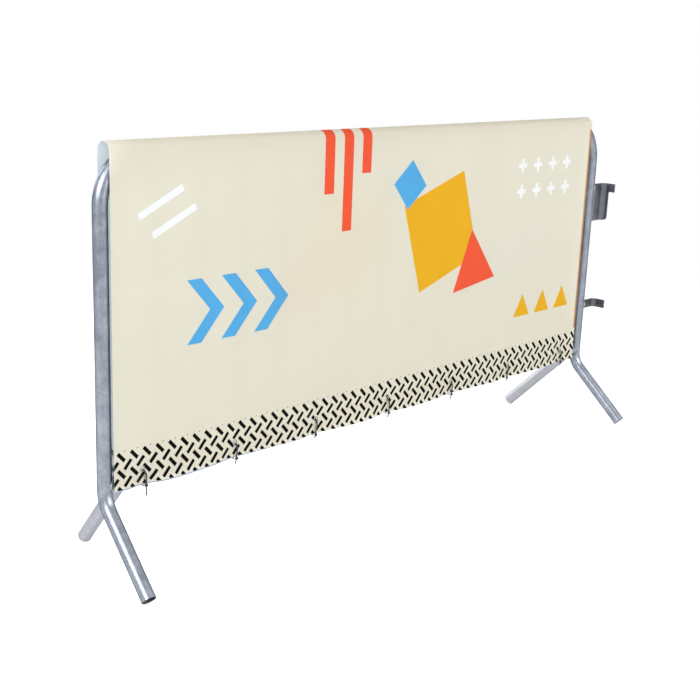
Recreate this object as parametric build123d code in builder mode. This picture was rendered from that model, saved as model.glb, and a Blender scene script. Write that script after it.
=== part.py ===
from build123d import *
from math import copysign, cos, radians, sin, sqrt, tan
import os

# Crowd-control barrier: one bent galvanised tube makes the two posts, the top rail and the
# front feet. A bottom rail, upright bars, two rear feet and two coupling hooks are welded to
# it. A printed cloth cover hangs over the top rail and is tied under the bottom rail.
#
# Frame: millimetres, X along the barrier, -Y to the front, +Z up. The origin lies on the
# ground, in the plane of the posts, midway between them.

# ---------------------------------------------------------------- driving dimensions
POST_SPACING = 2100.0        # post axis to post axis
STEEL_HEIGHT = 1100.0        # ground to the top of the top rail

TUBE_D = 38.0                # frame tube, rails and feet
TUBE_WALL = 1.5
CORNER_RADIUS = 135.0        # centreline, post into top rail
FOOT_BEND_RADIUS = 80.0      # centreline, post into front foot

FRONT_FOOT_REACH = 205.0     # post axis to the middle of the foot's open end, on plan
FRONT_FOOT_SLOPE = 43.0      # degrees below horizontal
FRONT_FOOT_SPLAY = 5.0       # degrees, outward on plan

REAR_FOOT_SLOPE = 46.0       # degrees below horizontal
REAR_FOOT_TOE_IN = 10.0      # degrees, inward on plan
REAR_FOOT_INSET = 47.0       # post axis to foot axis, where the foot meets the bottom rail
REAR_FOOT_TRIM = 3.0         # how far past the rail's axis the foot tube starts

BOTTOM_RAIL_HEIGHT = 245.0   # ground to the rail's axis

BAR_COUNT = 14
BAR_D = 18.0
BAR_WALL = 1.2
FIRST_BAR_OFFSET = 150.0     # post axis to the first bar's axis

HOOK_THICKNESS = 5.0
HOOK_SETBACK = 8.0           # post axis to the middle of the hook's shank, to the front
HOOK_REACH = 80.0            # post axis to the middle of the hook's lip
HOOK_DEPTH = 57.0            # post axis to the tip of the lip, to the front
HOOK_BEND_RADIUS = 20.0      # middle of the strip
HOOK_STRIP_HEIGHT = 30.0
UPPER_HOOK_TOP = 863.0       # ground to the top edge of the upper hook
UPPER_HOOK_PLATE_HEIGHT = 134.0
UPPER_HOOK_CORNER = 13.0     # lower outer corner of the plate
UPPER_HOOK_INNER_CORNER = 4.0
LOWER_HOOK_TOP = 434.0       # ground to the top edge of the lower hook

WELD_LEG = 3.0               # weld fillets between tubes
RAIL_WELD_LEG = 3.4          # at the ends of the bottom rail
HOOK_WELD_LEG = 4.0
BAR_WELD_LENGTH = 10.0       # along the rail

COVER_THICKNESS = 1.5
COVER_HALF_WIDTH = 25.0      # rail axis to the outside of each hanging panel
COVER_REST_GAP = 0.3         # cloth to the top of the rail
FRONT_HEM_DROP = 15.0        # bottom rail's axis down to the front panel's lower edge
BACK_HEM_RISE = 5.0          # bottom rail's axis up to the back panel's lower edge
COVER_LEFT_GAP = 12.0        # left post axis to the cover's left edge
COVER_RIGHT_GAP = 55.0       # cover's right edge to the right post axis

TIE_COUNT = 7
TIE_END_OFFSET = 88.0        # cover's edge to the first eyelet
TIE_WIDTH = 4.8
TIE_THICKNESS = 1.3
TIE_GAP = 0.3                # strap to the underside of the rail, and to the eyelets
TIE_BAR_GAP = 2.0            # strap to a bar that it passes
TIE_CORNER = 2.5             # inside radius of the loop's corners
TIE_HEAD = (8.0, 5.5, 7.0)   # along X, Y and Z
TIE_TAIL_LENGTH = 26.0
TIE_TAIL_LEAN = 35.0         # degrees from straight down, to the left

EYELET_BORE = 10.0
EYELET_BARREL = 11.2
EYELET_FLANGE = 17.0
EYELET_FLANGE_THICKNESS = 0.8
EYELET_RISE = 29.0           # bottom rail's axis up to the middle of the eyelets
EYELET_CLEARANCE = 0.2       # cloth to barrel and to flange

# ---------------------------------------------------------------- derived places
tube_r = TUBE_D / 2
bore_r = tube_r - TUBE_WALL
bar_r = BAR_D / 2
half_span = POST_SPACING / 2
top_rail_z = STEEL_HEIGHT - tube_r

bar_pitch = (POST_SPACING - 2 * FIRST_BAR_OFFSET) / (BAR_COUNT - 1)
bar_places = [FIRST_BAR_OFFSET - half_span + bar_pitch * i for i in range(BAR_COUNT)]

cover_left = COVER_LEFT_GAP - half_span
cover_right = half_span - COVER_RIGHT_GAP
panel_inside = COVER_HALF_WIDTH - COVER_THICKNESS
front_hem_z = BOTTOM_RAIL_HEIGHT - FRONT_HEM_DROP
back_hem_z = BOTTOM_RAIL_HEIGHT + BACK_HEM_RISE
eyelet_z = BOTTOM_RAIL_HEIGHT + EYELET_RISE


def beside_bars(x):
    """A tie that would meet a bar passes just beside it."""
    nearest = min(bar_places, key=lambda bar_x: abs(bar_x - x))
    reach = bar_r + TIE_WIDTH / 2 + TIE_BAR_GAP
    if abs(x - nearest) < reach:
        return nearest + copysign(reach, x - nearest)
    return x


tie_pitch = (cover_right - cover_left - 2 * TIE_END_OFFSET) / (TIE_COUNT - 1)
tie_places = [beside_bars(cover_left + TIE_END_OFFSET + tie_pitch * i) for i in range(TIE_COUNT)]

os.makedirs("parts", exist_ok=True)


def save(part, label):
    """Label a finished piece and write its STEP file."""
    part.label = label
    export_step(part, f"parts/{label}.step")


def tube_along_x(radius, length, z):
    """A plain round bar along X, used to trim what meets a rail."""
    axis_start = Plane(origin=(-length / 2, 0, z), x_dir=(0, 1, 0), z_dir=(1, 0, 0))
    return Solid.make_cylinder(radius, length, axis_start)


# ---------------------------------------------------------------- bent frame tube
front_slope = radians(FRONT_FOOT_SLOPE)
front_splay = radians(FRONT_FOOT_SPLAY)
front_end_z = tube_r * cos(front_slope)
foot_corner_z = front_end_z + FRONT_FOOT_REACH * tan(front_slope)


def front_foot_end(side):
    """Middle of the open end of a front foot; side is -1 for left, 1 for right."""
    return (
        side * (half_span + FRONT_FOOT_REACH * sin(front_splay)),
        -FRONT_FOOT_REACH * cos(front_splay),
        front_end_z,
    )


frame_points = [
    front_foot_end(-1),
    (-half_span, 0, foot_corner_z),
    (-half_span, 0, top_rail_z),
    (half_span, 0, top_rail_z),
    (half_span, 0, foot_corner_z),
    front_foot_end(1),
]
frame_bends = [FOOT_BEND_RADIUS, CORNER_RADIUS, CORNER_RADIUS, FOOT_BEND_RADIUS]

with BuildLine() as frame_line:
    FilletPolyline(*frame_points, radius=frame_bends)
frame_path = frame_line.wires()[0]
frame_start = Plane(origin=frame_path @ 0, z_dir=frame_path % 0)

with BuildPart() as frame_envelope:
    with BuildSketch(frame_start):
        Circle(tube_r)
    sweep(path=frame_path)

with BuildPart() as frame_bore:
    with BuildSketch(frame_start):
        Circle(bore_r)
    sweep(path=frame_path)

with BuildPart() as frame_hoop:
    add(frame_envelope.part)
    add(frame_bore.part, mode=Mode.SUBTRACT)
save(frame_hoop.part, "frame_hoop")

# ---------------------------------------------------------------- bottom rail
rail_solid = tube_along_x(tube_r, POST_SPACING, BOTTOM_RAIL_HEIGHT)
top_rail_solid = tube_along_x(tube_r, POST_SPACING, top_rail_z)

with BuildPart() as bottom_rail:
    with BuildSketch(Plane.YZ.offset(-half_span)):
        with Locations((0, BOTTOM_RAIL_HEIGHT)):
            Circle(tube_r)
            Circle(bore_r, mode=Mode.SUBTRACT)
    extrude(amount=POST_SPACING)
    add(frame_envelope.part, mode=Mode.SUBTRACT)
save(bottom_rail.part, "bottom_rail")

# ---------------------------------------------------------------- welds of the bottom rail
def weld_bead(first_grown, second_grown, *steel):
    """The bead where two tubes meet: within a weld's leg of both, and outside the steel."""
    with BuildPart() as bead:
        add(first_grown)
        add(second_grown, mode=Mode.INTERSECT)
        for piece in steel:
            add(piece, mode=Mode.SUBTRACT)
    return bead.part


def save_group(solids, label):
    """Save several separate solids as one named piece."""
    with BuildPart() as group:
        for solid in solids:
            add(solid)
    save(group.part, label)


def upright(radius, x, bottom, top):
    """A plain upright round bar."""
    return Solid.make_cylinder(radius, top - bottom, Plane(origin=(x, 0, bottom)))


rail_grown = tube_along_x(tube_r + WELD_LEG, POST_SPACING, BOTTOM_RAIL_HEIGHT)
top_rail_grown = tube_along_x(tube_r + WELD_LEG, POST_SPACING, top_rail_z)
rail_end_grown = tube_along_x(tube_r + RAIL_WELD_LEG, POST_SPACING, BOTTOM_RAIL_HEIGHT)
rail_weld_low = BOTTOM_RAIL_HEIGHT - TUBE_D
rail_weld_high = BOTTOM_RAIL_HEIGHT + TUBE_D


def rail_weld(post_x):
    """The bead round one end of the bottom rail, where it is coped to a post."""
    post_grown = upright(tube_r + WELD_LEG, post_x, rail_weld_low, rail_weld_high)
    return weld_bead(rail_end_grown, post_grown, rail_solid, frame_envelope.part)


save_group([rail_weld(post_x) for post_x in (-half_span, half_span)], "rail_welds")

# ---------------------------------------------------------------- upright bars
for number, bar_x in enumerate(bar_places, start=1):
    with BuildPart() as bar:
        with BuildSketch(Plane.XY.offset(BOTTOM_RAIL_HEIGHT)):
            with Locations((bar_x, 0)):
                Circle(bar_r)
                Circle(bar_r - BAR_WALL, mode=Mode.SUBTRACT)
        extrude(amount=top_rail_z - BOTTOM_RAIL_HEIGHT)
        add(rail_solid, mode=Mode.SUBTRACT)
        add(top_rail_solid, mode=Mode.SUBTRACT)
    save(bar.part, f"bar_{number:02d}")


def bar_weld(bar_x, rail, rail_sleeve, low, high):
    """The two short beads, front and back, that hold one end of a bar to a rail."""
    bar_solid = upright(bar_r, bar_x, low, high)
    zone_corner = Plane(origin=(bar_x - BAR_WELD_LENGTH / 2, -bar_r - WELD_LEG, low))
    zone_size = (BAR_WELD_LENGTH, 2 * (bar_r + WELD_LEG), high - low)
    bead_zone = Solid.make_box(*zone_size, zone_corner)
    return weld_bead(rail_sleeve, bead_zone, rail, bar_solid)


bar_low = (rail_solid, rail_grown, BOTTOM_RAIL_HEIGHT, BOTTOM_RAIL_HEIGHT + TUBE_D)
bar_high = (top_rail_solid, top_rail_grown, top_rail_z - TUBE_D, top_rail_z)
save_group([bar_weld(x, *bar_low) for x in bar_places], "lower_bar_welds")
save_group([bar_weld(x, *bar_high) for x in bar_places], "upper_bar_welds")

# ---------------------------------------------------------------- rear feet
rear_slope = radians(REAR_FOOT_SLOPE)
rear_toe_in = radians(REAR_FOOT_TOE_IN)
rear_foot_length = (BOTTOM_RAIL_HEIGHT - tube_r * cos(rear_slope)) / sin(rear_slope)


def rear_foot_plane(side):
    """Across the foot tube, at the bottom rail's axis, facing down the tube."""
    down_the_foot = (
        -side * cos(rear_slope) * sin(rear_toe_in),
        cos(rear_slope) * cos(rear_toe_in),
        -sin(rear_slope),
    )
    rail_point = (side * (half_span - REAR_FOOT_INSET), 0, BOTTOM_RAIL_HEIGHT)
    return Plane(origin=rail_point, z_dir=down_the_foot)


def rear_foot(side):
    """A straight tube, coped over the bottom rail at its upper end."""
    with BuildPart() as foot:
        with BuildSketch(rear_foot_plane(side).offset(REAR_FOOT_TRIM)):
            Circle(tube_r)
            Circle(bore_r, mode=Mode.SUBTRACT)
        extrude(amount=rear_foot_length - REAR_FOOT_TRIM)
        add(rail_solid, mode=Mode.SUBTRACT)
    return foot.part


def rear_foot_weld(side):
    """The bead round a rear foot's cope."""
    start = rear_foot_plane(side).offset(REAR_FOOT_TRIM)
    foot_solid = Solid.make_cylinder(tube_r, 3 * TUBE_D, start)
    foot_grown = Solid.make_cylinder(tube_r + WELD_LEG, 3 * TUBE_D, start)
    return weld_bead(rail_grown, foot_grown, rail_solid, foot_solid, frame_envelope.part)


save(rear_foot(-1), "rear_foot_left")
save(rear_foot(1), "rear_foot_right")
save_group([rear_foot_weld(side) for side in (-1, 1)], "rear_foot_welds")

# ---------------------------------------------------------------- coupling hooks
# Seen from above, a hook leaves the right post along X and turns to the front, so that the
# next barrier's post drops in between the right post and the hook's lip.
hook_root_x = half_span + sqrt(tube_r**2 - HOOK_SETBACK**2) - HOOK_THICKNESS
hook_lip_x = half_span + HOOK_REACH
hook_bend_end_y = -HOOK_SETBACK - HOOK_BEND_RADIUS


def hook_strip(bottom, height, tip_y):
    """A flat strip on edge, bent on plan, trimmed to the post; tip_y is where it ends."""
    with BuildLine() as line:
        FilletPolyline(
            (hook_root_x, -HOOK_SETBACK, bottom),
            (hook_lip_x, -HOOK_SETBACK, bottom),
            (hook_lip_x, tip_y, bottom),
            radius=HOOK_BEND_RADIUS,
        )
    path = line.wires()[0]
    with BuildPart() as strip:
        with BuildSketch(Plane(origin=path @ 0, x_dir=(0, 1, 0), z_dir=path % 0)):
            Rectangle(HOOK_THICKNESS, height, align=(Align.CENTER, Align.MIN))
        sweep(path=path)
        add(frame_envelope.part, mode=Mode.SUBTRACT)
    return strip.part


def hook_weld(bottom, height):
    """The two upright beads, front and back, between a hook and the post."""
    with BuildPart() as beads:
        with BuildSketch(Plane.XY.offset(bottom)):
            with Locations((half_span, 0)):
                Circle(tube_r + HOOK_WELD_LEG)
                Circle(tube_r, mode=Mode.SUBTRACT)
            with Locations((half_span + tube_r, -HOOK_SETBACK)):
                Rectangle(TUBE_D, HOOK_THICKNESS + 2 * HOOK_WELD_LEG, mode=Mode.INTERSECT)
                Rectangle(TUBE_D, HOOK_THICKNESS, mode=Mode.SUBTRACT)
        extrude(amount=height)
    return beads.part


upper_strip_bottom = UPPER_HOOK_TOP - HOOK_STRIP_HEIGHT
plate_bottom = UPPER_HOOK_TOP - UPPER_HOOK_PLATE_HEIGHT
plate_end_y = hook_bend_end_y - HOOK_THICKNESS

upper_tongue = hook_strip(upper_strip_bottom, HOOK_STRIP_HEIGHT, -HOOK_DEPTH)
upper_plate = hook_strip(plate_bottom, UPPER_HOOK_PLATE_HEIGHT - HOOK_STRIP_HEIGHT, plate_end_y)

with BuildPart() as upper_hook:
    add(upper_tongue)
    add(upper_plate)
    inner_corner = (
        upper_hook.edges()
        .filter_by(Axis.X)
        .filter_by_position(Axis.Z, upper_strip_bottom - 1, upper_strip_bottom + 1)
        .filter_by_position(Axis.Y, plate_end_y - 1, plate_end_y + 1)
    )
    outer_corner = (
        upper_hook.edges()
        .filter_by(Axis.X)
        .filter_by_position(Axis.Z, plate_bottom - 1, plate_bottom + 1)
        .filter_by_position(Axis.Y, plate_end_y - 1, plate_end_y + 1)
    )
    fillet(inner_corner, UPPER_HOOK_INNER_CORNER)
    fillet(outer_corner, UPPER_HOOK_CORNER)
save(upper_hook.part, "upper_hook")
save(hook_weld(plate_bottom, UPPER_HOOK_PLATE_HEIGHT), "upper_hook_weld")

lower_hook_bottom = LOWER_HOOK_TOP - HOOK_STRIP_HEIGHT
save(hook_strip(lower_hook_bottom, HOOK_STRIP_HEIGHT, -HOOK_DEPTH), "lower_hook")
save(hook_weld(lower_hook_bottom, HOOK_STRIP_HEIGHT), "lower_hook_weld")

# ---------------------------------------------------------------- cloth cover
fold_centre_z = STEEL_HEIGHT + COVER_REST_GAP - panel_inside

with BuildPart() as cover:
    with BuildSketch(Plane.YZ.offset(cover_left)):
        with Locations((0, fold_centre_z)):
            Circle(COVER_HALF_WIDTH)
            Circle(panel_inside, mode=Mode.SUBTRACT)
            Rectangle(
                2 * COVER_HALF_WIDTH,
                COVER_HALF_WIDTH,
                align=(Align.CENTER, Align.MAX),
                mode=Mode.SUBTRACT,
            )
        for panel_y, hem in ((-COVER_HALF_WIDTH, front_hem_z), (panel_inside, back_hem_z)):
            with Locations((panel_y, hem)):
                Rectangle(COVER_THICKNESS, fold_centre_z - hem, align=(Align.MIN, Align.MIN))
    extrude(amount=cover_right - cover_left)
    with BuildSketch(Plane.XZ.offset(-2 * COVER_HALF_WIDTH)):
        with Locations(*[(x, eyelet_z) for x in tie_places]):
            Circle(EYELET_BARREL / 2 + EYELET_CLEARANCE)
    extrude(amount=4 * COVER_HALF_WIDTH, mode=Mode.SUBTRACT)
save(cover.part, "cover")


def eyelets(side):
    """A row of rolled eyelets through one panel; side is -1 for the front, 1 for the back."""
    flange_inner = panel_inside - EYELET_CLEARANCE
    flange_outer = COVER_HALF_WIDTH + EYELET_CLEARANCE
    with BuildPart() as row:
        for x in tie_places:
            across = Plane(origin=(x, 0, eyelet_z), z_dir=(0, side, 0))
            with BuildSketch(across.offset(flange_inner - EYELET_FLANGE_THICKNESS)):
                Circle(EYELET_FLANGE / 2)
            extrude(amount=EYELET_FLANGE_THICKNESS)
            with BuildSketch(across.offset(flange_inner)):
                Circle(EYELET_BARREL / 2)
            extrude(amount=flange_outer - flange_inner)
            with BuildSketch(across.offset(flange_outer)):
                Circle(EYELET_FLANGE / 2)
            extrude(amount=EYELET_FLANGE_THICKNESS)
            with BuildSketch(across.offset(flange_inner - 2 * EYELET_FLANGE_THICKNESS)):
                Circle(EYELET_BORE / 2)
            extrude(amount=COVER_HALF_WIDTH, mode=Mode.SUBTRACT)
    return row.part


save(eyelets(-1), "front_eyelets")
save(eyelets(1), "back_eyelets")

# ---------------------------------------------------------------- cable ties
# Each strap runs under the bottom rail, up outside both panels and in through the eyelets.
flange_face = COVER_HALF_WIDTH + EYELET_CLEARANCE + EYELET_FLANGE_THICKNESS
loop_half_width = flange_face + TIE_CORNER
loop_bottom = BOTTOM_RAIL_HEIGHT - tube_r - TIE_GAP
eyelet_chord_drop = sqrt((EYELET_BORE / 2) ** 2 - (TIE_WIDTH / 2 + TIE_GAP) ** 2)
loop_top = eyelet_z - eyelet_chord_drop + TIE_GAP
loop_height = loop_top - loop_bottom
head_x, head_y, head_z = TIE_HEAD
head_front_y = -loop_half_width - TIE_THICKNESS - head_y


def cable_tie(x):
    """One closed tie: the loop, the locking head at the front hem, and the free tail."""
    with BuildPart() as tie:
        with BuildSketch(Plane.YZ.offset(x - TIE_WIDTH / 2)):
            with Locations((0, loop_bottom + loop_height / 2)):
                RectangleRounded(
                    2 * (loop_half_width + TIE_THICKNESS),
                    loop_height + 2 * TIE_THICKNESS,
                    TIE_CORNER + TIE_THICKNESS,
                )
                RectangleRounded(
                    2 * loop_half_width, loop_height, TIE_CORNER, mode=Mode.SUBTRACT
                )
        extrude(amount=TIE_WIDTH)
        with BuildSketch(Plane.XZ.offset(-head_front_y - head_y)):
            with Locations((x, loop_bottom + TIE_CORNER)):
                RectangleRounded(head_x, head_z, 1.0, align=(Align.CENTER, Align.MIN))
        extrude(amount=head_y)
        tail_start = Plane(origin=(x, head_front_y + head_y / 2, loop_bottom + TIE_CORNER))
        tail_line = tail_start.rotated((180, -TIE_TAIL_LEAN, 0))
        with BuildSketch(tail_line):
            Rectangle(TIE_WIDTH, TIE_THICKNESS)
        extrude(amount=TIE_TAIL_LENGTH)
    return tie.part


for number, tie_x in enumerate(tie_places, start=1):
    save(cable_tie(tie_x), f"cable_tie_{number}")
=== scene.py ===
"""Looks of a crowd control barrier with a printed cloth cover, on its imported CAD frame.

Metres throughout, in the CAD frame: X along the barrier, -Y to the front, +Z up, ground at 0.
"""
import math

import bmesh
import bpy
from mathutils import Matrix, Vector, noise


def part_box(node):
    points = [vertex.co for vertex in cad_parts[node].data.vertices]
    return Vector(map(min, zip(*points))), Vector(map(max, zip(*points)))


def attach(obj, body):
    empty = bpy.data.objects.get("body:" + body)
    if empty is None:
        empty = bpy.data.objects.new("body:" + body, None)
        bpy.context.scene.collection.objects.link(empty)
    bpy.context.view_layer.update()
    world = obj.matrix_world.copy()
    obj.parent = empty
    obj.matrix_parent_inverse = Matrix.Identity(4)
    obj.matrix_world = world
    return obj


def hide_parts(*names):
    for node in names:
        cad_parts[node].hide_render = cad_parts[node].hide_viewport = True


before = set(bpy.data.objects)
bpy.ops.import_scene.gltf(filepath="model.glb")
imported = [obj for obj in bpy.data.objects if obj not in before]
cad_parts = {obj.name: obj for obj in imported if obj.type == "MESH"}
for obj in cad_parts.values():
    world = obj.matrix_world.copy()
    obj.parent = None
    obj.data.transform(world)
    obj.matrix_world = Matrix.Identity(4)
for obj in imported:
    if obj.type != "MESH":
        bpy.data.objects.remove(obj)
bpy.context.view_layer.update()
scene = bpy.context.scene

# ------------------------------------------------------------------ sizes shared with the CAD
HALF_SPAN = 1.05  # middle of the barrier to a post's axis
TUBE_R = 0.019
TUBE_WALL = 0.0015
TOP_RAIL_Z = 1.081
CORNER_R = 0.135
FOOT_BEND_R = 0.080
FRONT_REACH = 0.205
FRONT_SLOPE = math.radians(43.0)
FRONT_SPLAY = math.radians(5.0)
REAR_SLOPE = math.radians(46.0)
REAR_TOE_IN = math.radians(10.0)
REAR_INSET = 0.047
RAIL_Z = 0.245
HOOK_FRONT_Y, HOOK_BACK_Y = -0.0105, -0.0055
TIE_HEAD_HALF_WIDTH = 0.0040
EYELET_Z = 0.274
HEM_STEP = 0.020  # the back panel's hem hangs this much higher than the front one's

# ------------------------------------------------------------------ sizes of the visual cloth
CLOTH_HALF_WIDTH = 0.0243  # rail's axis to the middle of each hanging panel
CLOTH_THICKNESS = 0.0007
FOLD_CLEARANCE = 0.0003  # cloth's middle below the top of the CAD cover

(COVER_X0, _, FRONT_HEM_Z), (COVER_X1, _, COVER_TOP_Z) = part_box("cover")
BACK_HEM_Z = FRONT_HEM_Z + HEM_STEP
FOLD_Z = COVER_TOP_Z - FOLD_CLEARANCE - CLOTH_HALF_WIDTH
COVER_WIDTH = COVER_X1 - COVER_X0
FRONT_LENGTH = FOLD_Z - FRONT_HEM_Z
BACK_LENGTH = FOLD_Z - BACK_HEM_Z
FOLD_LENGTH = math.pi * CLOTH_HALF_WIDTH
GIRTH = FRONT_LENGTH + FOLD_LENGTH + BACK_LENGTH

TIE_X = [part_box(f"cable_tie_{number}")[1][0] - TIE_HEAD_HALF_WIDTH for number in range(1, 8)]


# ------------------------------------------------------------------ camera, lights, backdrop
def place_camera():
    """The photograph's viewpoint: from the front left, a little above the barrier."""
    camera = bpy.data.objects.new("camera", bpy.data.cameras.new("camera"))
    scene.collection.objects.link(camera)
    camera.location = (-2.6865, -2.3649, 1.3813)
    camera.rotation_euler = [math.radians(angle) for angle in (74.896, -2.134, -46.173)]
    camera.data.lens = 61.84
    camera.data.sensor_width = 36.0
    camera.data.clip_end = 60.0
    scene.camera = camera


def soft_box(name, place, target, size, power):
    """A large area lamp that faces a point."""
    lamp = bpy.data.lights.new(name, "AREA")
    lamp.shape = "RECTANGLE"
    lamp.size, lamp.size_y = size
    lamp.energy = power
    holder = bpy.data.objects.new(name, lamp)
    holder.location = place
    aim = Vector(target) - Vector(place)
    holder.rotation_euler = aim.to_track_quat("-Z", "Y").to_euler()
    scene.collection.objects.link(holder)


# ------------------------------------------------------------------ node helpers
class Field:
    """A number that varies over a surface, built up from Math nodes."""

    def __init__(self, tree, socket):
        self.tree = tree
        self.socket = socket

    def math(self, operation, *others):
        node = self.tree.nodes.new("ShaderNodeMath")
        node.operation = operation
        for slot, value in zip(node.inputs, (self, *others)):
            if isinstance(value, Field):
                self.tree.links.new(value.socket, slot)
            else:
                slot.default_value = value
        return Field(self.tree, node.outputs[0])

    def __add__(self, other):
        return self.math("ADD", other)

    def __sub__(self, other):
        return self.math("SUBTRACT", other)

    def __mul__(self, other):
        return self.math("MULTIPLY", other)

    def __abs__(self):
        return self.math("ABSOLUTE")

    def least(self, other):
        return self.math("MINIMUM", other)

    def most(self, other):
        return self.math("MAXIMUM", other)

    def inside(self, softness=0.0004):
        """1 where a distance is below 0, 0 where it's above, with a soft edge."""
        return (self * (-1.0 / softness) + 0.5).math("MAXIMUM", 0.0).math("MINIMUM", 1.0)

    def ranged(self, low, high, new_low, new_high):
        """This number's range low..high taken to new_low..new_high, and held there."""
        node = self.tree.nodes.new("ShaderNodeMapRange")
        self.tree.links.new(self.socket, node.inputs["Value"])
        for name, value in (
            ("From Min", low),
            ("From Max", high),
            ("To Min", new_low),
            ("To Max", new_high),
        ):
            node.inputs[name].default_value = value
        return Field(self.tree, node.outputs["Result"])


class Finish:
    """A material with one Principled shader and short calls for the nodes that feed it."""

    def __init__(self, name, **constants):
        self.material = bpy.data.materials.new(name)
        self.material.use_nodes = True
        self.tree = self.material.node_tree
        self.shader = self.tree.nodes["Principled BSDF"]
        for socket, value in constants.items():
            self.shader.inputs[socket.replace("_", " ")].default_value = value

    def field(self, node, output=0):
        return Field(self.tree, node.outputs[output])

    def position(self):
        """The surface point in the shared frame, as a vector socket."""
        return self.tree.nodes.new("ShaderNodeTexCoord").outputs["Object"]

    def stretched(self, vector, scale):
        node = self.tree.nodes.new("ShaderNodeMapping")
        node.inputs["Scale"].default_value = scale
        self.tree.links.new(vector, node.inputs["Vector"])
        return node.outputs["Vector"]

    def noise(self, vector, scale, detail=3.0, roughness=0.5):
        node = self.tree.nodes.new("ShaderNodeTexNoise")
        node.inputs["Scale"].default_value = scale
        node.inputs["Detail"].default_value = detail
        node.inputs["Roughness"].default_value = roughness
        self.tree.links.new(vector, node.inputs["Vector"])
        return self.field(node, "Fac")

    def crystals(self, vector, scale):
        """A number of its own for each cell of a Voronoi pattern."""
        node = self.tree.nodes.new("ShaderNodeTexVoronoi")
        node.inputs["Scale"].default_value = scale
        self.tree.links.new(vector, node.inputs["Vector"])
        separate = self.tree.nodes.new("ShaderNodeSeparateColor")
        self.tree.links.new(node.outputs["Color"], separate.inputs["Color"])
        return self.field(separate, "Red")

    def mix(self, amount, first, second, blend="MIX"):
        """A colour from first to second; either may be a colour or a socket."""
        node = self.tree.nodes.new("ShaderNodeMix")
        node.data_type = "RGBA"
        node.blend_type = blend
        for slot, value in (("Factor", amount), ("A", first), ("B", second)):
            target = [s for s in node.inputs if s.name == slot and s.enabled][0]
            if isinstance(value, Field):
                self.tree.links.new(value.socket, target)
            elif isinstance(value, bpy.types.NodeSocket):
                self.tree.links.new(value, target)
            else:
                target.default_value = value if slot == "Factor" else (*value, 1.0)
        return [s for s in node.outputs if s.enabled][0]

    def bump(self, height, strength, distance):
        node = self.tree.nodes.new("ShaderNodeBump")
        node.inputs["Strength"].default_value = strength
        node.inputs["Distance"].default_value = distance
        self.tree.links.new(height.socket, node.inputs["Height"])
        self.feed("Normal", node.outputs["Normal"])

    def let_light_through(self, share, colour):
        """A thin sheet also shows a share of the light that falls on its far side."""
        glow = self.tree.nodes.new("ShaderNodeBsdfTranslucent")
        if isinstance(colour, bpy.types.NodeSocket):
            self.tree.links.new(colour, glow.inputs["Color"])
        else:
            glow.inputs["Color"].default_value = (*colour, 1.0)
        both = self.tree.nodes.new("ShaderNodeMixShader")
        both.inputs["Fac"].default_value = share
        self.tree.links.new(self.shader.outputs[0], both.inputs[1])
        self.tree.links.new(glow.outputs[0], both.inputs[2])
        output = self.tree.nodes["Material Output"]
        self.tree.links.new(both.outputs[0], output.inputs["Surface"])

    def feed(self, socket, source):
        if isinstance(source, Field):
            source = source.socket
        self.tree.links.new(source, self.shader.inputs[socket])

    def colour_between(self, amount, low, high, dark, pale):
        """The base colour runs from dark to pale as a number goes from low to high."""
        self.feed("Base Color", self.mix(amount.ranged(low, high, 0.0, 1.0), dark, pale))


# ------------------------------------------------------------------ metal finishes
def galvanised(name, pale, dark, roughness, streak=0.5, metallic=0.85, grazing=(1.0, 1.0, 1.0)):
    """Hot-dip galvanised steel: faint spangle, cloudy zinc and runs, with its grazing tint."""
    finish = Finish(name, Metallic=metallic, Specular_Tint=(*grazing, 1.0))
    place = finish.position()
    cloud = finish.noise(place, 34.0, 4.0, 0.6)
    runs = finish.noise(finish.stretched(place, (140.0, 140.0, 12.0)), 1.0, 3.0, 0.6)
    spangle = finish.crystals(place, 190.0)
    fine = finish.noise(place, 520.0, 2.0, 0.6)
    tone = cloud * 0.55 + runs * streak * 0.6 + spangle * 0.10 + fine * 0.12
    finish.colour_between(tone, 0.34, 0.88, dark, pale)
    finish.feed("Roughness", tone * 0.22 + (roughness - 0.11))
    grit = finish.noise(place, 230.0, 2.0, 0.6)
    relief = runs * 0.5 + fine * 0.35 + cloud * 0.6 + grit * 0.5
    finish.bump(relief, 0.40, 0.0006)
    return finish.material


def weld_finish():
    finish = Finish("weld_zinc", Metallic=0.8)
    place = finish.position()
    lumps = finish.noise(place, 300.0, 3.0, 0.6)
    finish.colour_between(lumps, 0.3, 0.7, (0.19, 0.21, 0.23), (0.46, 0.48, 0.50))
    finish.feed("Roughness", lumps.ranged(0.3, 0.7, 0.30, 0.5))
    finish.bump(lumps, 0.5, 0.0008)
    return finish.material


def eyelet_finish():
    finish = Finish("eyelet_metal", Metallic=0.9)
    place = finish.position()
    wear = finish.noise(place, 240.0, 3.0, 0.6)
    finish.colour_between(wear, 0.35, 0.7, (0.26, 0.27, 0.28), (0.48, 0.49, 0.49))
    finish.feed("Roughness", wear.ranged(0.3, 0.7, 0.28, 0.45))
    finish.bump(wear, 0.2, 0.0002)
    return finish.material


def tie_finish():
    finish = Finish("tie_plastic", Metallic=0.0)
    place = finish.position()
    grain = finish.noise(place, 700.0, 2.0, 0.5)
    finish.colour_between(grain, 0.3, 0.7, (0.008, 0.008, 0.009), (0.020, 0.020, 0.022))
    finish.feed("Roughness", grain.ranged(0.3, 0.7, 0.38, 0.52))
    finish.bump(grain, 0.15, 0.0002)
    return finish.material


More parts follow.
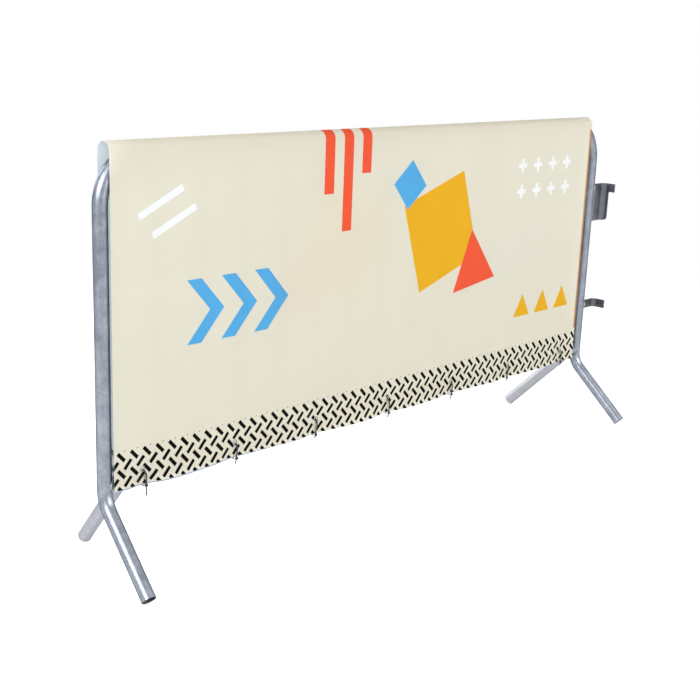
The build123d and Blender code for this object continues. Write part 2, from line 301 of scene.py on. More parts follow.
# ------------------------------------------------------------------ printed cloth
CREAM = (0.792, 0.745, 0.614)
BLUE = (0.105, 0.430, 0.760)
ORANGE = (0.900, 0.115, 0.050)
YELLOW = (0.850, 0.455, 0.022)
WHITE = (0.92, 0.92, 0.90)
BLACK = (0.003, 0.003, 0.003)
EDGE_ORANGE = (0.58, 0.27, 0.10)
# painted shade: the blue-grey of the thin line along each hem's lower edge
HEM_EDGE_SHADE = (0.40, 0.46, 0.55)

EDGE_WIDTH = 0.009  # the thin stripe down the cover's right edge
HEM_FOLD = (0.0560, 0.0575)  # heights between which the hem's double thickness ends

DASH_LEAD = 0.018  # where the first column of dashes starts, left of the cover's edge
DASH_PITCH = 0.0400
DASH_ROW_PITCH = 0.0450
DASH_LENGTH = 0.0312
DASH_WIDTH = 0.0100
DASH_TURN = 47.0
DASH_BAND_TOP = 0.100
THREAD_PITCH = 0.0011


class Print:
    """Plain shapes on the cloth; x runs along the cover and h up from the nearer hem."""

    def __init__(self, finish):
        self.finish = finish
        separate = finish.tree.nodes.new("ShaderNodeSeparateXYZ")
        texture = finish.tree.nodes.new("ShaderNodeTexCoord")
        finish.tree.links.new(texture.outputs["UV"], separate.inputs["Vector"])
        self.along = finish.field(separate, "X") * COVER_WIDTH
        self.girth = finish.field(separate, "Y") * GIRTH
        behind = self.girth.math("GREATER_THAN", GIRTH / 2)
        self.x = self.along + behind * (self.along * -2.0 + COVER_WIDTH)
        self.h = self.girth + behind * (self.girth * -2.0 + GIRTH)
        self.colour = CREAM

    def local(self, x, h, turn=0.0):
        """The two coordinates about a point, turned by an angle in degrees."""
        right, up = self.x - x, self.h - h
        if not turn:
            return right, up
        c, s = math.cos(math.radians(turn)), math.sin(math.radians(turn))
        return right * c + up * s, up * c - right * s

    def box(self, x, h, width, height, turn=0.0):
        right, up = self.local(x, h, turn)
        return (abs(right) - width / 2).most(abs(up) - height / 2)

    def band(self, along, first, last, width):
        """A strip across the cover, between two places along its whole girth."""
        middle = (first + last) / 2
        beside = abs(self.along - along) - width / 2
        return beside.most(abs(self.girth - middle) - (last - first) / 2)

    def triangle(self, x, h, size, turn=0.0):
        right, up = self.local(x, h, turn)
        slanted = abs(right) * math.cos(math.pi / 6) + up * 0.5
        return slanted.most(up * -1.0) - size

    def chevron(self, x, h, size, weight):
        right, up = self.local(x, h)
        arm = abs(right + abs(up) * 0.9) - weight
        return arm.most(abs(up) - size)

    def paint(self, distance, colour):
        self.colour = self.finish.mix(distance.inside(), self.colour, colour)

    def dashes(self, shift, turn):
        """A lattice of square-ended strokes, in the rows whose middle lies in the hem's band."""
        column = (self.x + DASH_LEAD) * (1 / DASH_PITCH) + shift
        row = self.h * (1 / DASH_ROW_PITCH) + shift
        right = (column.math("FRACT") - 0.5) * DASH_PITCH
        up = (row.math("FRACT") - 0.5) * DASH_ROW_PITCH
        c, s = math.cos(math.radians(turn)), math.sin(math.radians(turn))
        ahead = abs(right * c + up * s) - DASH_LENGTH / 2
        beside = abs(up * c - right * s) - DASH_WIDTH / 2
        kept = (row.math("FLOOR") - (shift - 0.5)) * DASH_ROW_PITCH
        return ahead.most(beside).most(kept - DASH_BAND_TOP)

    def dots(self, pitch, shift, h, radius):
        """A row of small dots at a height."""
        right = ((self.x * (1 / pitch) + shift).math("FRACT") - 0.5) * pitch
        up = self.h - h
        return (right * right + up * up).math("SQRT") - radius


def cloth_print():
    """The cover's printed outer face, on woven polyester."""
    finish = Finish(
        "printed_cloth",
        Roughness=0.80,
        Specular_IOR_Level=0.05,
        Sheen_Weight=0.01,
        Sheen_Roughness=0.5,
    )
    pattern = Print(finish)

    # the lower edge's dashes, with a row of small dots above them
    pattern.paint(pattern.dashes(0.0, DASH_TURN), BLACK)
    pattern.paint(pattern.dashes(0.5, -DASH_TURN), BLACK)
    pattern.paint(pattern.dots(DASH_PITCH, 0.7, 0.1050, 0.0016), BLACK)

    # plain shapes, spread along the panel
    pattern.paint(pattern.box(1.235, 0.545, 0.290, 0.290, 18.0), YELLOW)
    pattern.paint(pattern.triangle(1.405, 0.415, 0.062, 8.0), ORANGE)
    pattern.paint(pattern.box(1.075, 0.700, 0.105, 0.105, 40.0), BLUE)
    for step in range(3):
        pattern.paint(pattern.chevron(0.330 + 0.115 * step, 0.430, 0.085, 0.024), BLUE)
    for step, drop in enumerate((0.150, 0.260, 0.100)):
        bar_x = 0.730 + 0.075 * step
        drop_bar = pattern.band(bar_x, FRONT_LENGTH - drop, FRONT_LENGTH + 0.130, 0.038)
        pattern.paint(drop_bar, ORANGE)
    for column in range(4):
        for row in range(2):
            cross_x, cross_h = 1.640 + 0.085 * column, 0.640 + 0.085 * row
            cross = pattern.box(cross_x, cross_h, 0.046, 0.014)
            cross = cross.least(pattern.box(cross_x, cross_h, 0.014, 0.046))
            pattern.paint(cross, WHITE)
    for step in range(3):
        pattern.paint(pattern.triangle(1.690 + 0.118 * step, 0.235, 0.026), YELLOW)
    pattern.paint(pattern.box(0.150, 0.720, 0.150, 0.018, 25.0), WHITE)
    pattern.paint(pattern.box(0.190, 0.670, 0.150, 0.018, 25.0), WHITE)
    front_edge = (0.115, FRONT_LENGTH - 0.015)
    back_edge = (GIRTH - BACK_LENGTH + 0.015, GIRTH - 0.115)
    for first, last in (front_edge, back_edge):
        edge_strip = pattern.band(COVER_WIDTH - EDGE_WIDTH / 2, first, last, EDGE_WIDTH)
        pattern.paint(edge_strip, EDGE_ORANGE)

    # a thin blue-grey line along each hem's lower edge, painted shade of the hem's edge, widest
    # near the left
    # painted shade line, its height from the hem
    hem_shade_height = pattern.along.ranged(0.35, 0.75, 0.0036, 0.0006)
    pattern.paint(pattern.h - hem_shade_height, HEM_EDGE_SHADE)

    # the weave, slow fading and the double thickness of the hem, whose band is also darkened a
    # little as painted shade
    weave_u = (pattern.x * (2 * math.pi / THREAD_PITCH)).math("SINE")
    weave_v = (pattern.h * (2 * math.pi / THREAD_PITCH)).math("SINE")
    weave = weave_u * weave_v
    place = finish.position()
    fade = finish.noise(finish.stretched(place, (1.0, 1.0, 1.4)), 3.2, 4.0, 0.55)
    crease = finish.noise(finish.stretched(place, (1.0, 1.0, 0.35)), 9.0, 3.0, 0.5)
    hem = pattern.h.ranged(*HEM_FOLD, 1.0, 0.0)
    # painted shade: the hem's band is multiplied a little darker
    tone = fade.ranged(0.30, 0.70, 0.0, 0.30) + hem * 0.20
    finish.feed("Base Color", finish.mix(tone, pattern.colour, (0.90, 0.89, 0.87), "MULTIPLY"))
    finish.bump(weave * 0.25 + crease * 1.2 + hem * 0.6, 0.35, 0.0006)
    finish.let_light_through(0.32, pattern.colour)
    return finish.material


def cloth_lining():
    """The cover's unprinted inner face, its colour painted faintly blue all over as painted
    bluish daylight and shade.
    """
    finish = Finish("cloth_lining", Roughness=0.85, Sheen_Weight=0.1)
    place = finish.position()
    fade = finish.noise(place, 5.0, 3.0, 0.5)
    threads = finish.noise(finish.stretched(place, (900.0, 900.0, 900.0)), 1.0, 1.0, 0.5)
    # painted light: this pale blue base colour stands in for the bluish daylight and shade inside
    # the cover
    finish.colour_between(fade, 0.3, 0.7, (0.72, 0.82, 1.0), (0.82, 0.90, 1.0))
    finish.bump(threads, 0.2, 0.0003)
    # the light let through is tinted blue too, as painted bluish daylight
    finish.let_light_through(0.70, (0.77, 0.87, 1.0))
    return finish.material


# ------------------------------------------------------------------ mesh helpers
def piece(name, mesh, replaces=(), materials=()):
    """A finished piece that rides on the frame, in place of the CAD parts it hides."""
    shown = bpy.data.objects.new(name, mesh)
    scene.collection.objects.link(shown)
    for material in materials:
        mesh.materials.append(material)
    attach(shown, "root")
    if replaces:
        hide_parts(*replaces)
    return shown


def smooth(mesh, degrees=40.0):
    """Smooth shading, with edges sharper than an angle kept crisp."""
    for face in mesh.polygons:
        face.use_smooth = True
    mesh.set_sharp_from_angle(angle=math.radians(degrees))


def bent_path(points, radii, step=math.radians(4.0)):
    """A polyline's points with each inner corner rounded to its bend radius."""
    path = [Vector(points[0])]
    for before, corner, after, radius in zip(points, points[1:], points[2:], radii):
        corner = Vector(corner)
        back = (Vector(before) - corner).normalized()
        ahead = (Vector(after) - corner).normalized()
        half = back.angle(ahead) / 2
        centre = corner + (back + ahead).normalized() * (radius / math.sin(half))
        start = corner + back * (radius / math.tan(half))
        turn = math.pi - 2 * half
        count = max(2, math.ceil(turn / step))
        across = (start - centre).normalized()
        along = -back
        for index in range(count + 1):
            angle = turn * index / count
            path.append(centre + radius * (across * math.cos(angle) + along * math.sin(angle)))
    path.append(Vector(points[-1]))
    return path


def subdivided(path, longest):
    """The same path with no span longer than a length."""
    finer = [path[0]]
    for start, end in zip(path, path[1:]):
        count = max(1, math.ceil((end - start).length / longest))
        finer += [start.lerp(end, index / count) for index in range(1, count + 1)]
    return finer


def ring_frames(path, closed=False):
    """Two directions across each point of a path, carried along it without twist."""
    count = len(path)
    tangents = []
    for index in range(count):
        if closed:
            tangent = path[(index + 1) % count] - path[index - 1]
        else:
            tangent = path[min(index + 1, count - 1)] - path[max(index - 1, 0)]
        tangents.append(tangent.normalized())
    side = tangents[0].orthogonal().normalized()
    frames = []
    for tangent in tangents:
        side = (side - tangent * side.dot(tangent)).normalized()
        frames.append((side, tangent.cross(side)))
    return frames


def tube_mesh(name, path, radius, wall=None, sides=48):
    """A tube along a path, hollow and open at both ends where a wall is given."""
    frames = ring_frames(path)
    work = bmesh.new()

    def skin(r):
        rings = []
        for point, (side, up) in zip(path, frames):
            ring = []
            for index in range(sides):
                angle = 2 * math.pi * index / sides
                offset = side * math.cos(angle) + up * math.sin(angle)
                ring.append(work.verts.new(point + offset * r))
            rings.append(ring)
        return rings

    def join(first, second, flip):
        for index in range(sides):
            corner = (first[index], first[(index + 1) % sides])
            corner += (second[(index + 1) % sides], second[index])
            work.faces.new(reversed(corner) if flip else corner)

    outer = skin(radius)
    for first, second in zip(outer, outer[1:]):
        join(first, second, False)
    if wall:
        inner = skin(radius - wall)
        for first, second in zip(inner, inner[1:]):
            join(first, second, True)
        join(inner[0], outer[0], False)
        join(outer[-1], inner[-1], False)
    mesh = bpy.data.meshes.new(name)
    bmesh.ops.recalc_face_normals(work, faces=work.faces)
    work.to_mesh(mesh)
    work.free()
    smooth(mesh)
    return mesh


def joined(name, meshes):
    """Several meshes as one."""
    work = bmesh.new()
    for mesh in meshes:
        work.from_mesh(mesh)
        bpy.data.meshes.remove(mesh)
    mesh = bpy.data.meshes.new(name)
    work.to_mesh(mesh)
    work.free()
    smooth(mesh)
    return mesh


def bead_mesh(name, path, closed, radius, seed, sides=10, ripple=0.0026):
    """A weld bead along a path: a thick wavy line with ripples as a gun lays them."""
    step = ripple / 4
    if closed:
        path = subdivided(path + [path[0]], step)[:-1]
    else:
        path = subdivided(path, step)
    frames = ring_frames(path, closed)
    work = bmesh.new()
    rings = []
    travelled = 0.0
    for index, (point, (side, up)) in enumerate(zip(path, frames)):
        if index:
            travelled += (point - path[index - 1]).length
        phase = (travelled / ripple) % 1.0
        swell = noise.noise(point * 160.0 + Vector((seed, 0, 0)))
        size = radius * (0.92 + 0.16 * (1 - phase) ** 2 + 0.22 * swell)
        if not closed:
            size *= min(1.0, 0.45 + 0.25 * min(index, len(path) - 1 - index))
        ring = []
        for turn in range(sides):
            angle = 2 * math.pi * turn / sides
            offset = side * math.cos(angle) + up * math.sin(angle)
            ring.append(work.verts.new(point + offset * size))
        rings.append(ring)
    pairs = list(zip(rings, rings[1:])) + ([(rings[-1], rings[0])] if closed else [])
    for first, second in pairs:
        for turn in range(sides):
            corner = (first[turn], first[(turn + 1) % sides])
            work.faces.new(corner + (second[(turn + 1) % sides], second[turn]))
    if not closed:
        work.faces.new(reversed(rings[0]))
        work.faces.new(rings[-1])
    mesh = bpy.data.meshes.new(name)
    bmesh.ops.recalc_face_normals(work, faces=work.faces)
    work.to_mesh(mesh)
    work.free()
    smooth(mesh, 60.0)
    return mesh


def cope_line(start, direction, radius, centre, axis, other_radius, count=96):
    """The closed line where a tube that leaves another tube breaks its surface."""
    start, direction = Vector(start), Vector(direction).normalized()
    centre, axis = Vector(centre), Vector(axis).normalized()
    side = direction.orthogonal().normalized()
    up = direction.cross(side)
    line = []
    for index in range(count):
        angle = 2 * math.pi * index / count
        base = start + (side * math.cos(angle) + up * math.sin(angle)) * radius - centre
        flat_base = base - axis * base.dot(axis)
        flat_way = direction - axis * direction.dot(axis)
        a = flat_way.length_squared
        b = flat_base.dot(flat_way)
        c = flat_base.length_squared - other_radius**2
        reach = (-b + math.sqrt(max(b * b - a * c, 0.0))) / a
        line.append(centre + base + direction * reach)
    return line


# ------------------------------------------------------------------ steel frame
LONGEST_SPAN = 0.12
BEAD_R = 0.0026
HOOK_BEAD_R = 0.0030
HOOK_BLOB_R = 0.0042


def frame_points():
    """The bent tube's corners, from the left foot's open end to the right one's."""
    end_z = TUBE_R * math.cos(FRONT_SLOPE)
    corner_z = end_z + FRONT_REACH * math.tan(FRONT_SLOPE)
    out = FRONT_REACH * math.sin(FRONT_SPLAY)
    ahead = FRONT_REACH * math.cos(FRONT_SPLAY)
    return [
        (-HALF_SPAN - out, -ahead, end_z),
        (-HALF_SPAN, 0, corner_z),
        (-HALF_SPAN, 0, TOP_RAIL_Z),
        (HALF_SPAN, 0, TOP_RAIL_Z),
        (HALF_SPAN, 0, corner_z),
        (HALF_SPAN + out, -ahead, end_z),
    ]


def rear_foot_line(side):
    """The middle line of a rear foot: where it meets the rail's axis, its way, its length."""
    flat = math.cos(REAR_SLOPE)
    way = (
        -side * flat * math.sin(REAR_TOE_IN),
        flat * math.cos(REAR_TOE_IN),
        -math.sin(REAR_SLOPE),
    )
    length = (RAIL_Z - TUBE_R * flat) / math.sin(REAR_SLOPE)
    return Vector((side * (HALF_SPAN - REAR_INSET), 0, RAIL_Z)), Vector(way), length


def build_frame(tube, foot, bar, weld, hook):
    radii = (FOOT_BEND_R, CORNER_R, CORNER_R, FOOT_BEND_R)
    path = subdivided(bent_path(frame_points(), radii), LONGEST_SPAN)
    mesh = tube_mesh("frame_tube", path, TUBE_R, TUBE_WALL)
    piece("frame_tube", mesh, ["frame_hoop"], [tube])

    rail = [Vector((-HALF_SPAN, 0, RAIL_Z)), Vector((HALF_SPAN, 0, RAIL_Z))]
    mesh = tube_mesh("rail_tube", subdivided(rail, LONGEST_SPAN), TUBE_R - 0.0001)
    piece("rail_tube", mesh, ["bottom_rail"], [tube])

    beads = []
    for side, name in ((-1, "left"), (1, "right")):
        start, way, length = rear_foot_line(side)
        path = subdivided([start + way * 0.010, start + way * length], 0.05)
        mesh = tube_mesh(f"rear_foot_tube_{name}", path, TUBE_R, TUBE_WALL)
        piece(f"rear_foot_tube_{name}", mesh, [f"rear_foot_{name}"], [foot])
        line = cope_line(start, way, TUBE_R, (0, 0, RAIL_Z), (1, 0, 0), TUBE_R)
        beads.append(bead_mesh("bead", line, True, BEAD_R, side + 5.0))
    mesh = joined("rear_foot_beads", beads)
    piece("rear_foot_beads", mesh, ["rear_foot_welds"], [weld])

    beads = []
    for side in (-1, 1):
        start = (side * HALF_SPAN, 0, RAIL_Z)
        line = cope_line(start, (-side, 0, 0), TUBE_R, start, (0, 0, 1), TUBE_R + 0.0006)
        beads.append(bead_mesh("bead", line, True, BEAD_R, side + 9.0))
    mesh = joined("rail_beads", beads)
    piece("rail_beads", mesh, ["rail_welds"], [weld])

    for name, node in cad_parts.items():
        if name.startswith("bar_"):
            finish = bar
        elif name in ("lower_bar_welds", "upper_bar_welds"):
            finish = weld
        elif name in ("upper_hook", "lower_hook"):
            finish = hook
            soften = node.modifiers.new("edges", "BEVEL")
            soften.width = 0.0007
            soften.segments = 2
            soften.limit_method = "ANGLE"
            soften.angle_limit = math.radians(40)
        else:
            continue
        node.data.materials.clear()
        node.data.materials.append(finish)
        smooth(node.data, 35.0)


def build_hook_beads(weld):
    """Upright beads between the post and each hook, with a blob where the strip leaves."""
    for name in ("upper_hook", "lower_hook"):
        low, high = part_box(f"{name}_weld")
        beads = []
        bottom, top = low[2], high[2]
        for face_y, seed in ((HOOK_FRONT_Y, 2.0), (HOOK_BACK_Y, 3.0)):
            corner_x = HALF_SPAN + math.sqrt(TUBE_R**2 - face_y**2) + 0.0008
            line = [Vector((corner_x, face_y, z)) for z in (bottom + 0.003, top - 0.003)]
            beads.append(bead_mesh("bead", line, False, HOOK_BEAD_R, seed))
            blob = [Vector((corner_x, face_y, z)) for z in (top - 0.026, top - 0.006)]
            beads.append(bead_mesh("bead", blob, False, HOOK_BLOB_R, seed + 4.0))
        mesh = joined(f"{name}_beads", beads)
        piece(f"{name}_beads", mesh, [f"{name}_weld"], [weld])


# ------------------------------------------------------------------ cloth cover
COLUMNS = 330
FRONT_STEPS, FOLD_STEPS, BACK_STEPS = 110, 20, 106
PINCH_REACH = 0.045  # along the cloth, either side of a tie
FLARE_HEIGHT = 0.055  # how fast the hem's flare dies away upward
RAY_REACH = 0.30  # how far a tie's fine creases are followed
TIE_HEIGHT = 0.044  # the middle of a tie's pull, above a hem
FLAT_ABOVE, FLAT_EASE = 0.86, 0.20  # the sway dies away below this height, over this length


def pinch(x):
    """1 at a tie and 0 away from it."""
    return sum(math.exp(-(((x - tie) / PINCH_REACH) ** 2)) for tie in TIE_X)


def wander(x, h, seed):
    return noise.noise(Vector((x, h, seed)))


def cloth_sway(x, h, side):
    """How far a panel stands out from its flat plane, at a height above its hem."""
    held = min(1.0, pinch(x))
    eased = min(1.0, max(0.0, (FLAT_ABOVE - h) / FLAT_EASE))
    broad = 0.0013 * wander(x * 1.9, h * 1.5, 3.0 + side)
    flare = (0.0022 + 0.0040 * wander(x * 5.0, 0.0, 11.0 + side)) * math.exp(-h / FLARE_HEIGHT)
    drawn_at_tie = 0.0013 * held * math.exp(-(((h - TIE_HEIGHT) / 0.06) ** 2))
    drawn_at_hem = 0.0030 * held * math.exp(-h / 0.018)
    rays = 0.0
    for tie in TIE_X:
        away, up = x - tie, h - TIE_HEIGHT
        reach = math.hypot(away, up)
        if reach < RAY_REACH:
            angle = math.atan2(up, away)
            grow = 1.0 - math.exp(-((reach / 0.03) ** 2))
            rays += 0.0007 * math.cos(7.0 * angle + tie * 9.0) * grow * math.exp(-reach / 0.075)
    return eased * (broad + flare * (1.0 - held) - (drawn_at_tie + drawn_at_hem) + rays)


def hem_drop(x, side):
    """How far the hem hangs below its straight line between the ties."""
    held = min(1.0, pinch(x))
    return (0.0030 + 0.0085 * wander(x * 4.3, 2.0, 21.0 + side)) * (1.0 - 0.8 * held)


def cloth_point(x, along, offset):
    """The cloth at a distance along its girth, moved out from its middle by an offset."""
    if FRONT_LENGTH <= along <= FRONT_LENGTH + FOLD_LENGTH:
        angle = (along - FRONT_LENGTH) / CLOTH_HALF_WIDTH
        reach = CLOTH_HALF_WIDTH + offset
        return Vector((x, -reach * math.cos(angle), FOLD_Z + reach * math.sin(angle)))
    if along < FRONT_LENGTH:
        side, h, hem_z = -1, along, FRONT_HEM_Z
    else:
        side, h, hem_z = 1, GIRTH - along, BACK_HEM_Z
    out = CLOTH_HALF_WIDTH + offset + cloth_sway(x, h, side)
    drop = hem_drop(x, side) * math.exp(-h / 0.07)
    return Vector((x, side * out, hem_z + h - drop))


def girth_steps():
    """Places along the girth, closer together over the rail."""
    steps = [FRONT_LENGTH * index / FRONT_STEPS for index in range(FRONT_STEPS)]
    steps += [FRONT_LENGTH + FOLD_LENGTH * index / FOLD_STEPS for index in range(FOLD_STEPS + 1)]
    start = FRONT_LENGTH + FOLD_LENGTH
    steps += [start + BACK_LENGTH * index / BACK_STEPS for index in range(1, BACK_STEPS + 1)]
    return steps


def build_cover(outer, inner):
    """One sheet over the top rail, printed outside and plain inside."""
    steps = girth_steps()
    last = len(steps) - 1
    work = bmesh.new()
    layer = work.loops.layers.uv.new("cloth")
    skins = []
    for offset in (CLOTH_THICKNESS / 2, -CLOTH_THICKNESS / 2):
        skin = []
        for column in range(COLUMNS + 1):
            x = COVER_X0 + COVER_WIDTH * column / COLUMNS
            skin.append([work.verts.new(cloth_point(x, along, offset)) for along in steps])
        skins.append(skin)

    def face(corners, places, material):
        made = work.faces.new(corners)
        made.material_index = material
        made.smooth = True
        for loop, (column, step) in zip(made.loops, places):
            loop[layer].uv = (column / COLUMNS, steps[step] / GIRTH)

    for number, skin in enumerate(skins):
        for column in range(COLUMNS):
            for step in range(last):
                places = [(column, step), (column + 1, step)]
                places += [(column + 1, step + 1), (column, step + 1)]
                if number:
                    places.reverse()
                face([skin[c][s] for c, s in places], places, number)
    rim = [(c, 0) for c in range(COLUMNS)] + [(COLUMNS, s) for s in range(last)]
    rim += [(c, last) for c in range(COLUMNS, 0, -1)] + [(0, s) for s in range(last, 0, -1)]
    for here, there in zip(rim, rim[1:] + rim[:1]):
        (c0, s0), (c1, s1) = here, there
        corners = [skins[0][c1][s1], skins[0][c0][s0], skins[1][c0][s0], skins[1][c1][s1]]
        face(corners, [there, here, here, there], 0 if c0 == c1 == COLUMNS else 1)
    mesh = bpy.data.meshes.new("cloth_cover")
    work.to_mesh(mesh)
    work.free()
    mesh.set_sharp_from_angle(angle=math.radians(60))
    return piece("cloth_cover", mesh, ["cover"], [outer, inner])


# ------------------------------------------------------------------ eyelets and ties
EYELET_BORE_R = 0.0050
EYELET_ROLL_R = 0.0012
EYELET_SIDES = 36


def eyelet_profile():
    """Radius and depth of a rolled eyelet's section, from the bore round the flange."""
    points = []
    for index in range(9):
        angle = math.pi * index / 8
        radius = EYELET_BORE_R + EYELET_ROLL_R * (1 - math.cos(angle))
        points.append((radius, 0.0003 + EYELET_ROLL_R * math.sin(angle)))
    points.append((0.0083, 0.0001))
    points.append((0.0085, -0.0003))
    return points


def eyelet_ring(work, middle, radius, out):
    ring = []
    for index in range(EYELET_SIDES):
        angle = 2 * math.pi * index / EYELET_SIDES
        spot = Vector((radius * math.cos(angle), out, radius * math.sin(angle)))
        ring.append(work.verts.new(middle + spot))
    return ring


def build_eyelets(metal):
    for side, name in ((-1, "front"), (1, "back")):
        hem_z = FRONT_HEM_Z if side < 0 else BACK_HEM_Z
        h = EYELET_Z - hem_z
        along = h if side < 0 else GIRTH - h
        work = bmesh.new()
        for x in TIE_X:
            middle = cloth_point(x, along, 0.0)
            for facing in (-1, 1):
                rings = [eyelet_ring(work, middle, EYELET_BORE_R, 0.0)]
                for radius, depth in eyelet_profile():
                    out = (CLOTH_THICKNESS / 2 + depth) * facing
                    rings.append(eyelet_ring(work, middle, radius, side * out))
                for first, second in zip(rings, rings[1:]):
                    for index in range(EYELET_SIDES):
                        after = (index + 1) % EYELET_SIDES
                        work.faces.new((first[index], first[after], second[after], second[index]))
        bmesh.ops.remove_doubles(work, verts=work.verts, dist=1e-6)
        bmesh.ops.recalc_face_normals(work, faces=work.faces)
        mesh = bpy.data.meshes.new(f"{name}_eyelet_row")
        work.to_mesh(mesh)
        work.free()
        smooth(mesh, 70.0)
        piece(f"{name}_eyelet_row", mesh, [f"{name}_eyelets"], [metal])


def strap_mesh(path, width, thickness, teeth=0.0):
    """A flat strap along a path, with its width along X, and teeth if a pitch is given."""
    work = bmesh.new()
    rings = []
    travelled = 0.0
    for index, point in enumerate(path):
        before, after = path[max(index - 1, 0)], path[min(index + 1, len(path) - 1)]
        way = (after - before).normalized()
        across = (Vector((1, 0, 0)) - way * way.x).normalized()
        out = across.cross(way)
        if index:
            travelled += (point - before).length
        height = thickness
        if teeth:
            height *= 0.78 + 0.30 * ((travelled / teeth) % 1.0)
        w, t = width / 2, height / 2
        chamfer = 0.25 * thickness
        section = [(-w, -t + chamfer), (-w + chamfer, -t), (w - chamfer, -t), (w, -t + chamfer)]
        section += [(w, t - chamfer), (w - chamfer, t), (-w + chamfer, t), (-w, t - chamfer)]
        rings.append([work.verts.new(point + across * a + out * b) for a, b in section])
    for first, second in zip(rings, rings[1:]):
        for index in range(8):
            after = (index + 1) % 8
            work.faces.new((first[index], first[after], second[after], second[index]))
    work.faces.new(reversed(rings[0]))
    work.faces.new(rings[-1])
    bmesh.ops.recalc_face_normals(work, faces=work.faces)
    mesh = bpy.data.meshes.new("strap")
    work.to_mesh(mesh)
    work.free()
    return mesh


def head_mesh(middle, size):
    """The locking head: a bevelled block with a stepped mouth for the strap."""
    work = bmesh.new()
    bmesh.ops.create_cube(work, size=1.0)
    bmesh.ops.scale(work, vec=size, verts=work.verts)
    top = [f for f in work.faces if f.normal.z > 0.9]
    bmesh.ops.inset_region(work, faces=top, thickness=0.0016, depth=0.0)
    for corner in {v for f in top for v in f.verts}:
        corner.co.z -= 0.0012
    edges = [e for e in work.edges if len(e.link_faces) == 2 and e.calc_face_angle() > 0.6]
    bmesh.ops.bevel(work, geom=edges, offset=0.0006, segments=2, profile=0.6, affect="EDGES")
    bmesh.ops.translate(work, vec=middle, verts=work.verts)
    mesh = bpy.data.meshes.new("head")
    work.to_mesh(mesh)
    work.free()
    return mesh


# one value for each tie, from left to right
TIE_SHIFT = (0.008, 0.003, -0.003, 0.006, 0.002, -0.004, 0.005)
TIE_LEAN = (4.0, 30.0, 34.0, 36.0, 28.0, 35.0, 24.0)  # degrees from straight down
TIE_TAIL = (0.027, 0.016, 0.011, 0.015, 0.018, 0.012, 0.014)

STRAP_SECTION = (0.0046, 0.0013)
TAIL_SECTION = (0.0042, 0.0012)
HEAD_SIZE = (0.0078, 0.0052, 0.0066)
TAIL_STEPS = 32
TOOTH_PITCH = 0.0017


def build_ties(plastic):
    settings = zip(TIE_X, TIE_SHIFT, TIE_LEAN, TIE_TAIL)
    for number, (x, shift, lean, length) in enumerate(settings, start=1):
        corners = [
            (x + shift, -0.0268, 0.2300),
            (x + shift * 0.7 + 0.003, -0.0284, 0.2560),
            (x, -0.0286, 0.2720),
            (x, 0.0284, 0.2720),
            (x, 0.0272, 0.2330),
            (x + shift * 0.5, 0.0200, 0.2246),
            (x + shift, -0.0200, 0.2244),
            (x + shift, -0.0262, 0.2270),
        ]
        path = bent_path(corners, [0.003, 0.0022, 0.0022, 0.006, 0.006, 0.004], math.radians(15))
        loop = strap_mesh(subdivided(path, 0.004), *STRAP_SECTION)
        head = Vector((x + shift, -0.0287, 0.2283))
        down = math.radians(lean)
        tail = []
        for index in range(TAIL_STEPS + 1):
            gone = length * index / TAIL_STEPS
            bow = 0.1 * gone * (index / TAIL_STEPS)
            tail.append(head + Vector((-gone * math.sin(down), -bow, -gone * math.cos(down))))
        end = strap_mesh(tail, *TAIL_SECTION, TOOTH_PITCH)
        mesh = joined(f"tie_{number}", [loop, head_mesh(head, HEAD_SIZE), end])
        piece(f"tie_{number}", mesh, [f"cable_tie_{number}"], [plastic])


# ------------------------------------------------------------------ floor and background
FLOOR_REACH = 40.0


def seen_rays(tree):
    """1 for what the camera or a reflection sees, or sees through glass, and 0 for lighting."""
    rays = tree.nodes.new("ShaderNodeLightPath")
    camera = Field(tree, rays.outputs["Is Camera Ray"])
    glossy = Field(tree, rays.outputs["Is Glossy Ray"])
    through = Field(tree, rays.outputs["Is Transmission Ray"])
    return camera.most(glossy).most(through)


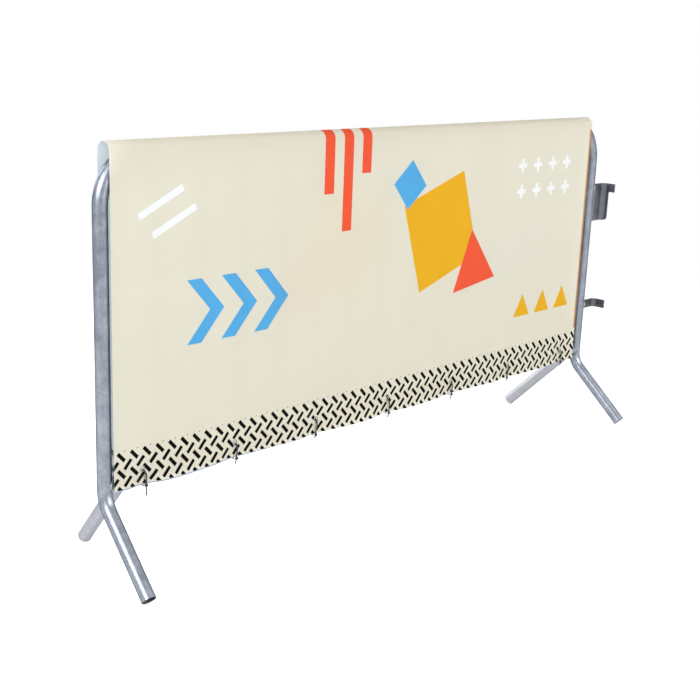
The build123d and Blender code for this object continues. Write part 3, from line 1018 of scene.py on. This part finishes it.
def build_floor():
    """A pale floor that takes the soft shadow and reads as white paper to the camera."""
    mesh = bpy.data.meshes.new("floor")
    r = FLOOR_REACH
    mesh.from_pydata([(-r, -r, 0), (r, -r, 0), (r, r, 0), (-r, r, 0)], [], [(0, 1, 2, 3)])
    floor = bpy.data.objects.new("floor", mesh)
    scene.collection.objects.link(floor)
    floor.location.z = -0.0005
    material = bpy.data.materials.new("floor_paper")
    material.use_nodes = True
    tree = material.node_tree
    tree.nodes.clear()
    output = tree.nodes.new("ShaderNodeOutputMaterial")
    paper = tree.nodes.new("ShaderNodeBsdfDiffuse")
    paper.inputs["Color"].default_value = (0.80, 0.80, 0.80, 1)
    lift = tree.nodes.new("ShaderNodeEmission")
    lift.inputs["Color"].default_value = (1, 1, 1, 1)
    both = tree.nodes.new("ShaderNodeAddShader")
    seen = seen_rays(tree)
    tree.links.new((seen * 0.45).socket, lift.inputs["Strength"])
    tree.links.new(paper.outputs[0], both.inputs[0])
    place = tree.nodes.new("ShaderNodeTexCoord").outputs["Object"]
    length = tree.nodes.new("ShaderNodeVectorMath")
    length.operation = "LENGTH"
    tree.links.new(place, length.inputs[0])
    far = Field(tree, length.outputs["Value"]).ranged(2.2, 4.0, 0.0, 1.0)
    white = tree.nodes.new("ShaderNodeEmission")
    white.inputs["Color"].default_value = (1, 1, 1, 1)
    fade = tree.nodes.new("ShaderNodeMixShader")
    tree.links.new((far * seen).socket, fade.inputs["Fac"])
    tree.links.new(both.outputs[0], fade.inputs[1])
    tree.links.new(white.outputs[0], fade.inputs[2])
    tree.links.new(lift.outputs[0], both.inputs[1])
    tree.links.new(fade.outputs[0], output.inputs["Surface"])
    mesh.materials.append(material)


def build_world():
    """Even white light all round; the background itself is white."""
    world = bpy.data.worlds.new("studio")
    scene.world = world
    world.use_nodes = True
    tree = world.node_tree
    background = tree.nodes["Background"]
    background.inputs["Color"].default_value = (1, 1, 1, 1)
    tree.links.new((seen_rays(tree) * 0.55 + 0.45).socket, background.inputs["Strength"])


# ------------------------------------------------------------------ the scene
scene.view_settings.view_transform = "Standard"
place_camera()
build_world()
build_floor()
soft_box("key", (0.9, -5.6, 3.0), (0.1, 0, 0.6), (2.6, 2.6), 214)
soft_box("fill", (3.6, -3.2, 2.2), (0, 0, 0.6), (2.0, 2.0), 38)
soft_box("back", (-0.7, 3.4, 2.4), (-0.1, 0, 0.6), (2.6, 2.0), 138)
soft_box("edge", (-3.4, -0.45, 2.1), (-0.8, 0, 0.4), (2.4, 1.6), 80)

tube_zinc = galvanised(
    "galvanised_tube",
    pale=(0.395, 0.420, 0.470),
    dark=(0.170, 0.191, 0.232),
    roughness=0.34,
    metallic=0.95,
    grazing=(0.05, 0.08, 0.14),
)
foot_zinc = galvanised(
    "galvanised_foot",
    pale=(0.50, 0.51, 0.54),
    dark=(0.34, 0.35, 0.38),
    roughness=0.46,
    streak=0.2,
    metallic=0.7,
    grazing=(0.25, 0.27, 0.32),
)
bar_zinc = galvanised(
    "galvanised_bar",
    pale=(0.44, 0.47, 0.52),
    dark=(0.25, 0.28, 0.32),
    roughness=0.40,
    grazing=(0.1, 0.13, 0.18),
)
hook_zinc = galvanised(
    "hook_steel",
    pale=(0.20, 0.21, 0.235),
    dark=(0.10, 0.105, 0.12),
    roughness=0.42,
    streak=0.2,
    metallic=0.8,
)
zinc_weld = weld_finish()

build_frame(tube_zinc, foot_zinc, bar_zinc, zinc_weld, hook_zinc)
build_hook_beads(zinc_weld)
cloth = build_cover(cloth_print(), cloth_lining())
build_eyelets(eyelet_finish())
build_ties(tie_finish())
